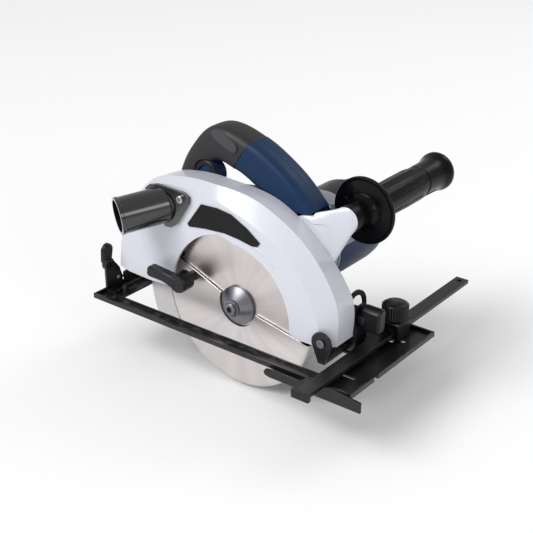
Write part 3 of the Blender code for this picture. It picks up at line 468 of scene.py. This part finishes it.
def build_guard():
    """Painted upper guard, hollow and open below, with its window and the rib over it."""
    near, rim, far, top = guard_rings()
    guard = loft("upper_guard_fine", [place(ring, "Y", y) for ring, y in zip((near, rim, far), GUARD_Y)])
    inner = []
    for outline, depth in ((near, -44.4), (rim, -35.5), (far, -14.4)):
        core = shrink(outline, GUARD_WALL)[:top]
        core[0], core[-1] = (core[0][0], -8), (core[-1][0], -8)
        inner.append(place(core, "Y", depth))
    window = arc((0, BLADE_Z), 72, 178, 100, 48) + arc((0, BLADE_Z), 66, 88, -5.7, 56)
    window += [(66, -8), (-82, -8), (-82, 25)]
    carve(guard, [loft("core", inner)])
    carve(guard, [slab("window", window, "Y", (-60, -30)),
                  slab("foot", [(60, -8), (120, -8), (120, 19.5), (60, 19.5)], "Y", (-60, -13.2)),
                  rod("arbor_way", 13, 30, (0, -30, BLADE_Z), (0, 1, 0)),
                  rod("pin_way", 3.4, 60, (PIVOT[0], -60, PIVOT[1]), (0, 1, 0)),
                  rod("dust_way", 14.6, 16, PORT_ROOT - PORT_WAY * 8, PORT_WAY, 64)])
    guard.data.set_sharp_from_angle(angle=math.radians(16))
    finish_piece(guard, "white_paint", "saw", ("upper_guard",), 1.1, 3, angle=16)
    crest = place(arc((0, BLADE_Z), 74.5, 78, 49, 24), "Y", -45.9)
    rib = tube_along("guard_rib", crest, 1.6, 24)
    finish_piece(rib, "white_paint", "saw", (), 0)


def build_port():
    """Dust tube on its three-cornered flange, with the screw that holds it."""
    screw_x, screw_z = PORT_SCREW
    outline = [(-99, 122), (-93, 127), (-84, 129), (-52, 128), (-45.5, 125), (-46, 119), (-61, 95), (-68, 90),
               (-75, 89.5), (-97, 108)]
    flange = slab("dust_port_fine", outline, "Y", (-50.4, -47.3))
    tube = turned("tube", [(0, 0), (17.4, 0), (17.4, 42.5), (17.9, 43), (17.9, 45.6), (17.5, 46), (0, 46)],
                  PORT_ROOT, PORT_WAY)
    carve(tube, [block("back", (-130, -47.5, 60), (-30, -10, 160))])
    carve(flange, [tube], "UNION")
    carve(flange, [rod("bore", 15.2, 80, PORT_ROOT - PORT_WAY * 15, PORT_WAY, 96),
                   rod("screw_way", 2.2, 12, (screw_x, -55, screw_z), (0, 1, 0))])
    finish_piece(flange, "port_nylon", "saw", ("dust_port",), 0.5, 3)
    head = [(0, 0), (3.2, 0), (3.6, 0.4), (3.6, 2.9), (1.8, 2.9), (1.8, 5.9), (0, 5.9)]
    screw = turned("port_screw_fine", head, (screw_x, -53.3, screw_z), (0, 1, 0), 40)
    carve(screw, [rod("socket", 1.7, 2.4, (screw_x, -53.6, screw_z), (0, 1, 0), 6)])
    finish_piece(screw, "bright_steel", "saw", ("port_screw",), 0.15)


def build_swing_guard():
    """Pressed guard that wraps the lower half of the blade."""
    outer, near, far, thin = 82.5, -38.4, -23.0, 1.2
    first, span, steps = -11, 191, 180
    profile = [(21, near), (78, near), (79.6, near + 0.12), (80.9, near + 0.5), (81.8, near + 1.1),
               (82.3, near + 1.9), (outer, near + 2.8), (outer, far), (24, far), (24, far - thin),
               (outer - thin, far - thin), (outer - thin, near + 3.0), (80.8, near + thin + 0.7),
               (79.8, near + thin), (21, near + thin)]
    rings = []
    for i in range(steps + 1):
        turn = math.radians(first - span * i / steps)
        rings.append([(r * math.cos(turn), y, BLADE_Z + r * math.sin(turn)) for r, y in profile])
    shell = loft("lower_guard_fine", rings)
    finish_piece(shell, "guard_steel", "swing_guard", ("lower_guard",), 0.0)


def build_blade():
    """Blade body with a gullet at each tooth, and the carbide tips brazed to it."""
    teeth, outline, tips = 24, [], []
    centre = (0, BLADE_Z)
    gullet = ((79.2, 0), (78.6, 2.2), (78.4, 4.4), (76.6, 6.4), (73.8, 8.6), (72.6, 11), (73.4, 13.0),
              (76.0, 14.4))                                     # radius, degrees behind the tooth
    for i in range(teeth):
        start = -360.0 * i / teeth
        outline += [polar(centre, radius, start - behind) for radius, behind in gullet]
        tip = [polar(centre, 80.0, start + 0.35), polar(centre, 79.0, start - 1.5),
               polar(centre, 74.6, start - 0.9), polar(centre, 74.8, start + 0.5)]
        tips.append(slab("tip", tip, "Y", (-36.3, -33.7)))
    blade = slab("blade_fine", outline, "Y", (-36.0, -34.0))
    carve(blade, [rod("bore", 8.3, 10, (0, -40, BLADE_Z), (0, 1, 0))])
    finish_piece(blade, "blade_steel", "blade_set", ("blade",), 0.12, 1)
    finish_piece(join("blade_tips", tips), "carbide", "blade_set", (), 0)


def build_hub():
    """Outer flange of the blade and the bolt through it."""
    dish = [(4.3, 0), (8, 0), (8.6, 0.3), (18.3, 5.9), (18.8, 6.5), (18.8, 8.7), (4.3, 8.7), (4.3, 0)]
    outer = turned("outer_flange_fine", dish, (0, -45, BLADE_Z), (0, 1, 0), 128)
    finish_piece(outer, "dark_steel", "blade_set", ("outer_flange",), 0)
    shank = [(0, 0), (5.2, 0), (5.9, 0.5), (6.1, 3.0), (8.2, 3.2), (8.2, 4.7), (4, 4.7), (4, 24), (0, 24)]
    bolt = turned("blade_bolt_fine", shank, (0, -50, BLADE_Z), (0, 1, 0), 64)
    carve(bolt, [rod("socket", 3.2, 4.4, (0, -50.9, BLADE_Z), (0, 1, 0), 6)])
    finish_piece(bolt, "dark_steel", "blade_set", ("blade_bolt",), 0.15)


def build_arm():
    """Flared arm with a sunk panel on the side that faces forward."""
    lean = Vector((-0.747, 0.665))
    stations = smooth_path([(-11.7, 27, 14.5, 65, 98.5), (-9, 24, 13.5, 70, 103), (-5, 19.5, 13, 77, 109.5),
                            (-1.5, 14.5, 12.3, 85, 116.5), (1.5, 12, 12, 90, 121)], 6)
    skins = []
    for share in (1.0, 0.86):
        rings = []
        for y, tall, wide, x, z in stations:
            oval = [(x + lean.x * tall * share * c + lean.y * wide * share * d,
                     z + lean.y * tall * share * c - lean.x * wide * share * d)
                    for c, d in arc((0, 0), 1, 0, 357, 120)]
            rings.append(place(oval, "Y", y))
        skins.append(loft("aux_bracket_fine", rings))
    arm, core = skins
    panel = [(49, 113), (58, 114.5), (68, 116), (75, 116.5), (79.5, 114.5), (82, 110.5), (82.5, 105),
             (81, 98), (79, 90), (77.5, 82), (60, 78), (44, 96)]
    carve(arm, [slab("panel", panel, "Y", (-30, 30))])
    carve(arm, [core], "UNION")
    for cutter in (block("handle_room", (-50, -20, 121.0), (63.2, 60, 200)),
                   block("base_room", (-50, -6.3, 108.7), (64.5, 60, 200)),
                   slab("case_room", case_outline(), "Y", (-8.6, 40)),
                   rod("stud_way", 4.3, 8, (AUX_AT[0], -1.9, AUX_AT[2]), AUX_WAY)):
        carve(arm, [cutter])
    finish_piece(arm, "white_paint", "saw", ("aux_bracket",), 0.9, 3)


def build_side_handle():
    """Side handle: collar with its disc and ribs, ridged grip, and the line along the grip."""
    collar = [(0, -3.1), (4.0, -3.1), (4.0, 0.3), (11.6, 0.3), (12.2, 0.9), (12.4, 2.0), (12.4, 14),
              (12.9, 19), (14.2, 23.4), (16.5, 25.6), (28.2, 27.2), (29.2, 26.7), (30.7, 26.8), (31.4, 27.8),
              (31.4, 29.4), (30.9, 30.4), (29.6, 30.8), (28.5, 29.8), (16.4, 30.2), (16, 37), (0, 37)]
    flange = turned("aux_flange_fine", collar, AUX_AT, AUX_WAY, 160)
    ribs = []
    for i in range(8):
        turn = math.radians(45 * i + 20)
        out, side = Vector((math.cos(turn), 0, math.sin(turn))), Vector((-math.sin(turn), 0, math.cos(turn)))
        rows = []
        for y in (-0.7, 0.7):
            rows.append([tuple(Vector(AUX_AT) + out * r + side * y + Vector((0, h, 0)))
                         for r, h in ((12, 18.0), (13.4, 21.0), (15.5, 24.2), (21.0, 25.6), (21.0, 27.2),
                                      (12, 27.2))])
        ribs.append(loft("rib", rows))
    step = [(17.6, 27.0), (17.6, 24.9), (19.0, 24.9), (19.0, 27.0), (17.6, 27.0)]
    ribs.append(turned("step", step, AUX_AT, AUX_WAY, 120))
    finish_piece(join("aux_flange_fine", [flange] + ribs), "black_gloss", "saw", ("aux_flange",), 0.3)
    grip = [(0, 0), (14.0, 0), (14.4, 0.6), (14.9, 19), (15.5, 46), (15.3, 70), (15.0, 78), (14.2, 78.6),
            (14.0, 80), (14.2, 81.4), (15.0, 82), (15.3, 94), (15.6, 104), (16.6, 109), (18.3, 112.6),
            (18.9, 114.6), (18.9, 117.4), (18.2, 119.2), (16.2, 121.0), (13.0, 121.6), (12.2, 120.8),
            (0, 121.2)]
    body = turned("aux_grip_fine", grip, (AUX_AT[0], AUX_GRIP_Y, AUX_AT[2]), AUX_WAY)
    marks = []
    for turn in range(0, 360, 30):
        out = Vector((math.cos(math.radians(turn)), 0, math.sin(math.radians(turn))))
        side = Vector((-out.z, 0, out.x))
        rows = []
        for t, low, high in ((10, 14.3, 14.9), (14, 14.4, 15.6), (40, 15.0, 16.05), (66, 15.0, 16.05),
                             (72, 14.9, 15.5)):
            rows.append([tuple(Vector((AUX_AT[0], AUX_GRIP_Y + t, AUX_AT[2])) + out * r + side * w)
                         for r, w in ((low, -1.5), (high, -0.9), (high, 0.9), (low, 1.5))])
        marks.append(loft("ridge", rows))
    finish_piece(join("aux_grip_fine", [body] + marks), "black_gloss", "saw", ("aux_grip",), 0.2)
    line, turn = [], math.radians(-48)
    for y, radius in ((40, 14.75), (58, 15.25), (85, 15.85), (108, 15.75), (119, 15.2), (122, 15.4),
                      (140, 15.95)):
        line.append((AUX_AT[0] + radius * math.cos(turn), y, AUX_AT[2] + radius * math.sin(turn)))
    finish_piece(tube_along("aux_grip_line", line, 0.5), "red_line", "saw", (), 0)


def grip_section(thick, side, half):
    """Half of the handle's rounded section, as (across, out) pairs."""
    count, power, points = 25, 0.54, []
    for i in range(count):
        turn = math.radians(-90 + 180 * i / (count - 1))
        c, s = math.cos(turn), math.sin(turn)
        points.append((0.5 * thick * math.copysign(abs(s) ** power, s), side * half * abs(c) ** power))
    return points


def sweep(name, stations, side, half):
    """Handle section carried along (X, Z, thickness) stations: one half, or both when side is 0."""
    seam = 0.15
    rings = []
    for i, (x, z, thick) in enumerate(stations):
        before, after = stations[max(i - 1, 0)], stations[min(i + 1, len(stations) - 1)]
        along = Vector((after[0] - before[0], after[1] - before[1])).normalized()
        across = Vector((-along.y, along.x))
        if side:
            section = [(a, b + side * seam) for a, b in grip_section(thick, side, half - seam)]
        else:
            section = grip_section(thick, 1, half) + grip_section(thick, -1, half)[-2:0:-1]
        rings.append([(x + across.x * a, HANDLE_Y + b, z + across.y * a) for a, b in section])
    return loft(name, rings)


def hull(points):
    """Convex outline round points in a plane."""
    ordered = sorted(set(points))
    lower, upper = [], []
    for chain, run in ((lower, ordered), (upper, ordered[::-1])):
        for p in run:
            while len(chain) > 1 and ((chain[-1][0] - chain[-2][0]) * (p[1] - chain[-2][1])
                                      - (chain[-1][1] - chain[-2][1]) * (p[0] - chain[-2][0])) <= 0:
                chain.pop()
            chain.append(p)
    return lower[:-1] + upper[:-1]


def case_outline():
    """Room taken up by the gear case: arbor boss, motor boss and the corner above them."""
    low = arc((0, BLADE_Z), 23.2 + CLEAR, 180, 345, 28)
    high = arc(MOTOR_AT, 41 + CLEAR, -35, 190, 60)
    return hull([(round(x, 4), round(z, 4)) for x, z in low + high + [(56 + CLEAR, 118 + CLEAR)]])


def build_handle():
    """Blue halves of the arm and the rubber cap behind them."""
    arm = smooth_path([(50, 112, 34), (30, 131, 35), (8, 146, 35.5), (-14, 157, 35), (-42, 164.2, 33.5)], 12)
    rear = smooth_path([(2, 149, 35.4), (-20, 158.5, 35), (-38, 163.5, 34.5), (-51, 162.5, 33),
                        (-64, 152, 28.5), (-76, 137, 25), (-84, 119, 24)], 12)
    base = shrink([(-104, 104), (-98, 119), (-72, 121), (-40, 119), (-24, 121), (10, 121.5), (30, 130),
                   (58, 124), (64, 112), (30, 109), (-10, 100), (-22, 92), (-96, 92)], -0.4)
    tail = [(-35.8, 130), (3.2, 190), (-90, 190), (-90, 100), (-35.8, 100)]
    split = [(-36.2, 130), (2.8, 190), (80, 190), (80, 60), (-36.2, 60)]
    ledge = [(-95, 80), (90, 80), (90, 121.3), (-95, 121.3)]
    room = [(-32, 139), (-31.5, 155), (-10, 151), (6, 135), (3, 126)]
    for name, side in (("handle_near", -1), ("handle_far", 1)):
        half = sweep(name + "_fine", arm, side, 17)
        cuts = [slab("tail", tail, "Y", (-40, 60)), slab("case", case_outline(), "Y", (-20, 40)),
                slab("base", base, "Y", (-6.5, 30)), slab("room", room, "Y", (-2.6, 13.6))]
        if side < 0:
            cuts.append(slab("ledge", ledge, "Y", (-20, -6.5)))
        for cutter in cuts:
            carve(half, [cutter])
        finish_piece(half, "blue_plastic", "saw", (name,), 0.7, 2)
    cap = sweep("grip_cap_fine", rear, 0, 17.4)
    for cutter in (slab("split", split, "Y", (-40, 60)), slab("base", base, "Y", (-6.5, 30)),
                   slab("ledge", ledge, "Y", (-20, -6.5)),
                   rod("boss", 14.4, 60, (BOSS_AT[0], -20, BOSS_AT[1]), (0, 1, 0), 96),
                   slab("room", room, "Y", (-2.6, 13.6))):
        carve(cap, [cutter])
    finish_piece(cap, "rubber", "saw", ("grip_cap",), 0.8, 2)
    # Grey rubber pad on the cap's near side: a painted highlight standing in for a lit facet of the cap.
    pad = [(-49.3, 176.4), (-42.8, 178.3), (-32.4, 175.6), (-20.6, 168.7), (-22.7, 161.6), (-35.0, 165.3),
           (-47.2, 171.5)]
    pad = slab("grip_pad", smooth_path(pad + pad[:1], 6)[:-1], "Y", (-13.3, -8.5))
    finish_piece(pad, "grey_rubber", "saw", (), 1.4, 3)
    rim = [(8.6, -0.4), (8.6, -1.6), (9.4, -2.2), (12.6, -2.2), (13.6, -1.2), (13.6, 0.3), (8.6, 0.3),
           (8.6, -0.4)]
    ring = turned("lock_off_ring", rim, (BOSS_AT[0], -10, BOSS_AT[1]), (0, 1, 0))
    finish_piece(ring, "black_plastic", "saw", (), 0)


def build_shroud():
    """Cast collar over the front of the motor housing, with the dark joint behind it."""
    for name, look, start, end, low, high in (("motor_collar", "casting", 33.5, 66, 8, 172),
                                              ("motor_cover", "black_plastic", 66.6, 100, 20, 160)):
        rings = []
        for radius, y in ((41.0, start), (41.9, start), (41.9, end), (41.0, end)):
            rings.append([(MOTOR_AT[0] + radius * math.cos(t), y, MOTOR_AT[1] + radius * math.sin(t))
                          for t in (math.radians(low + (high - low) * i / 48) for i in range(49))])
        outline = [list(column) for column in zip(*rings)]
        finish_piece(loft(name, outline), look, "saw", (), 0.3)


def ribbed(radius, depth, count, centre):
    """Round outline with a row of small ribs."""
    points = []
    for i in range(count * 4):
        swell = 0.5 + 0.5 * math.cos(2 * math.pi * i / 4)
        points.append(polar(centre, radius - depth * (1 - swell), 360 * i / (count * 4)))
    return points


def build_knobs():
    """Ribbed knob of the fence clamp."""
    centre = (121.2, 40)
    grip = slab("fence_knob_fine", ribbed(12.6, 0.9, 30, centre), "Z", (21.5, 34.4))
    crown = [(0, 36), (9.6, 36), (10.6, 35.4), (11.4, 34.4), (11.4, 22), (10.5, 20), (3, 20), (3, 11.8),
             (0, 11.8)]
    top = turned("top", crown, (*centre, 0), (0, 0, 1), 64)
    finish_piece(join("fence_knob_fine", [grip, top]), "black_plastic", "fence_knob_body", ("fence_knob",),
                 0.25)


def build_plain_pieces(done):
    """Every node that has no piece yet, with the width of its rounded edges."""
    widths = {"guard_spring": 0, "driven_gear": 0.12, "idler_gear": 0.12, "motor_shaft": 0.12,
              "base_plate": 0.5, "fence_guide": 0.5, "handle_base": 0.8, "trigger": 0.5, "gear_case": 0.8,
              "badge_plate": 0.2}
    for node in frame["nodes"]:
        if node not in done:
            refine(node, widths.get(node, 0.35))


# ---------------------------------------------------------------- studio

def build_studio():
    """Pale floor, even sky, soft sun and three lamps."""
    floor_mesh = bpy.data.meshes.new("floor")
    work = bmesh.new()
    bmesh.ops.create_grid(work, x_segments=1, y_segments=1, size=FLOOR_HALF)
    work.to_mesh(floor_mesh)
    work.free()
    floor = bpy.data.objects.new("floor", floor_mesh)
    floor.location = (0, 0, CAD_BOX[0].z - FLOOR_GAP)
    floor.data.materials.append(surface("pale floor", (0.93, 0.93, 0.94), 0.6, grain=60, bump=0.00001,
                                        shade=0.01))
    bpy.context.scene.collection.objects.link(floor)
    world = bpy.data.worlds.new("studio")
    bpy.context.scene.world = world
    world.use_nodes = True
    world.node_tree.nodes["Background"].inputs["Color"].default_value = (1.0, 1.0, 1.0, 1.0)
    world.node_tree.nodes["Background"].inputs["Strength"].default_value = SKY_STRENGTH
    sun = bpy.data.lights.new("sun", "SUN")
    sun.energy = SUN_POWER
    sun.angle = math.radians(SUN_SPREAD)
    sky = bpy.data.objects.new("sun", sun)
    sky.rotation_euler = Vector((-0.35, -0.8, 0.85)).to_track_quat("Z", "Y").to_euler()
    bpy.context.scene.collection.objects.link(sky)
    for name, spot, size, power in LAMPS:
        light = bpy.data.lights.new(name, "AREA")
        light.energy = power
        light.size = size
        lamp = bpy.data.objects.new(name, light)
        lamp.location = spot
        lamp.rotation_euler = (Vector(spot) - LAMP_TARGET).to_track_quat("Z", "Y").to_euler()
        bpy.context.scene.collection.objects.link(lamp)


def build_camera():
    azimuth, elevation = math.radians(CAMERA_AZIMUTH), math.radians(CAMERA_ELEVATION)
    back = Vector((math.sin(azimuth) * math.cos(elevation), -math.cos(azimuth) * math.cos(elevation),
                   math.sin(elevation)))
    lens = bpy.data.cameras.new("camera")
    lens.sensor_width = 36.0
    lens.lens = CAMERA_LENS
    camera = bpy.data.objects.new("camera", lens)
    camera.location = CAMERA_TARGET + back * CAMERA_DISTANCE
    camera.rotation_euler = back.to_track_quat("Z", "Y").to_euler()
    bpy.context.scene.collection.objects.link(camera)
    bpy.context.scene.camera = camera
    bpy.context.scene.view_settings.view_transform = "Standard"


make_looks()
build_guard()
build_port()
build_swing_guard()
build_blade()
build_hub()
build_arm()
build_side_handle()
build_handle()
build_shroud()
build_knobs()
build_plain_pieces({"upper_guard", "dust_port", "port_screw", "lower_guard", "blade", "outer_flange",
                    "blade_bolt", "aux_flange", "aux_grip", "aux_bracket", "handle_near", "handle_far",
                    "grip_cap", "fence_knob"})
build_studio()
build_camera()
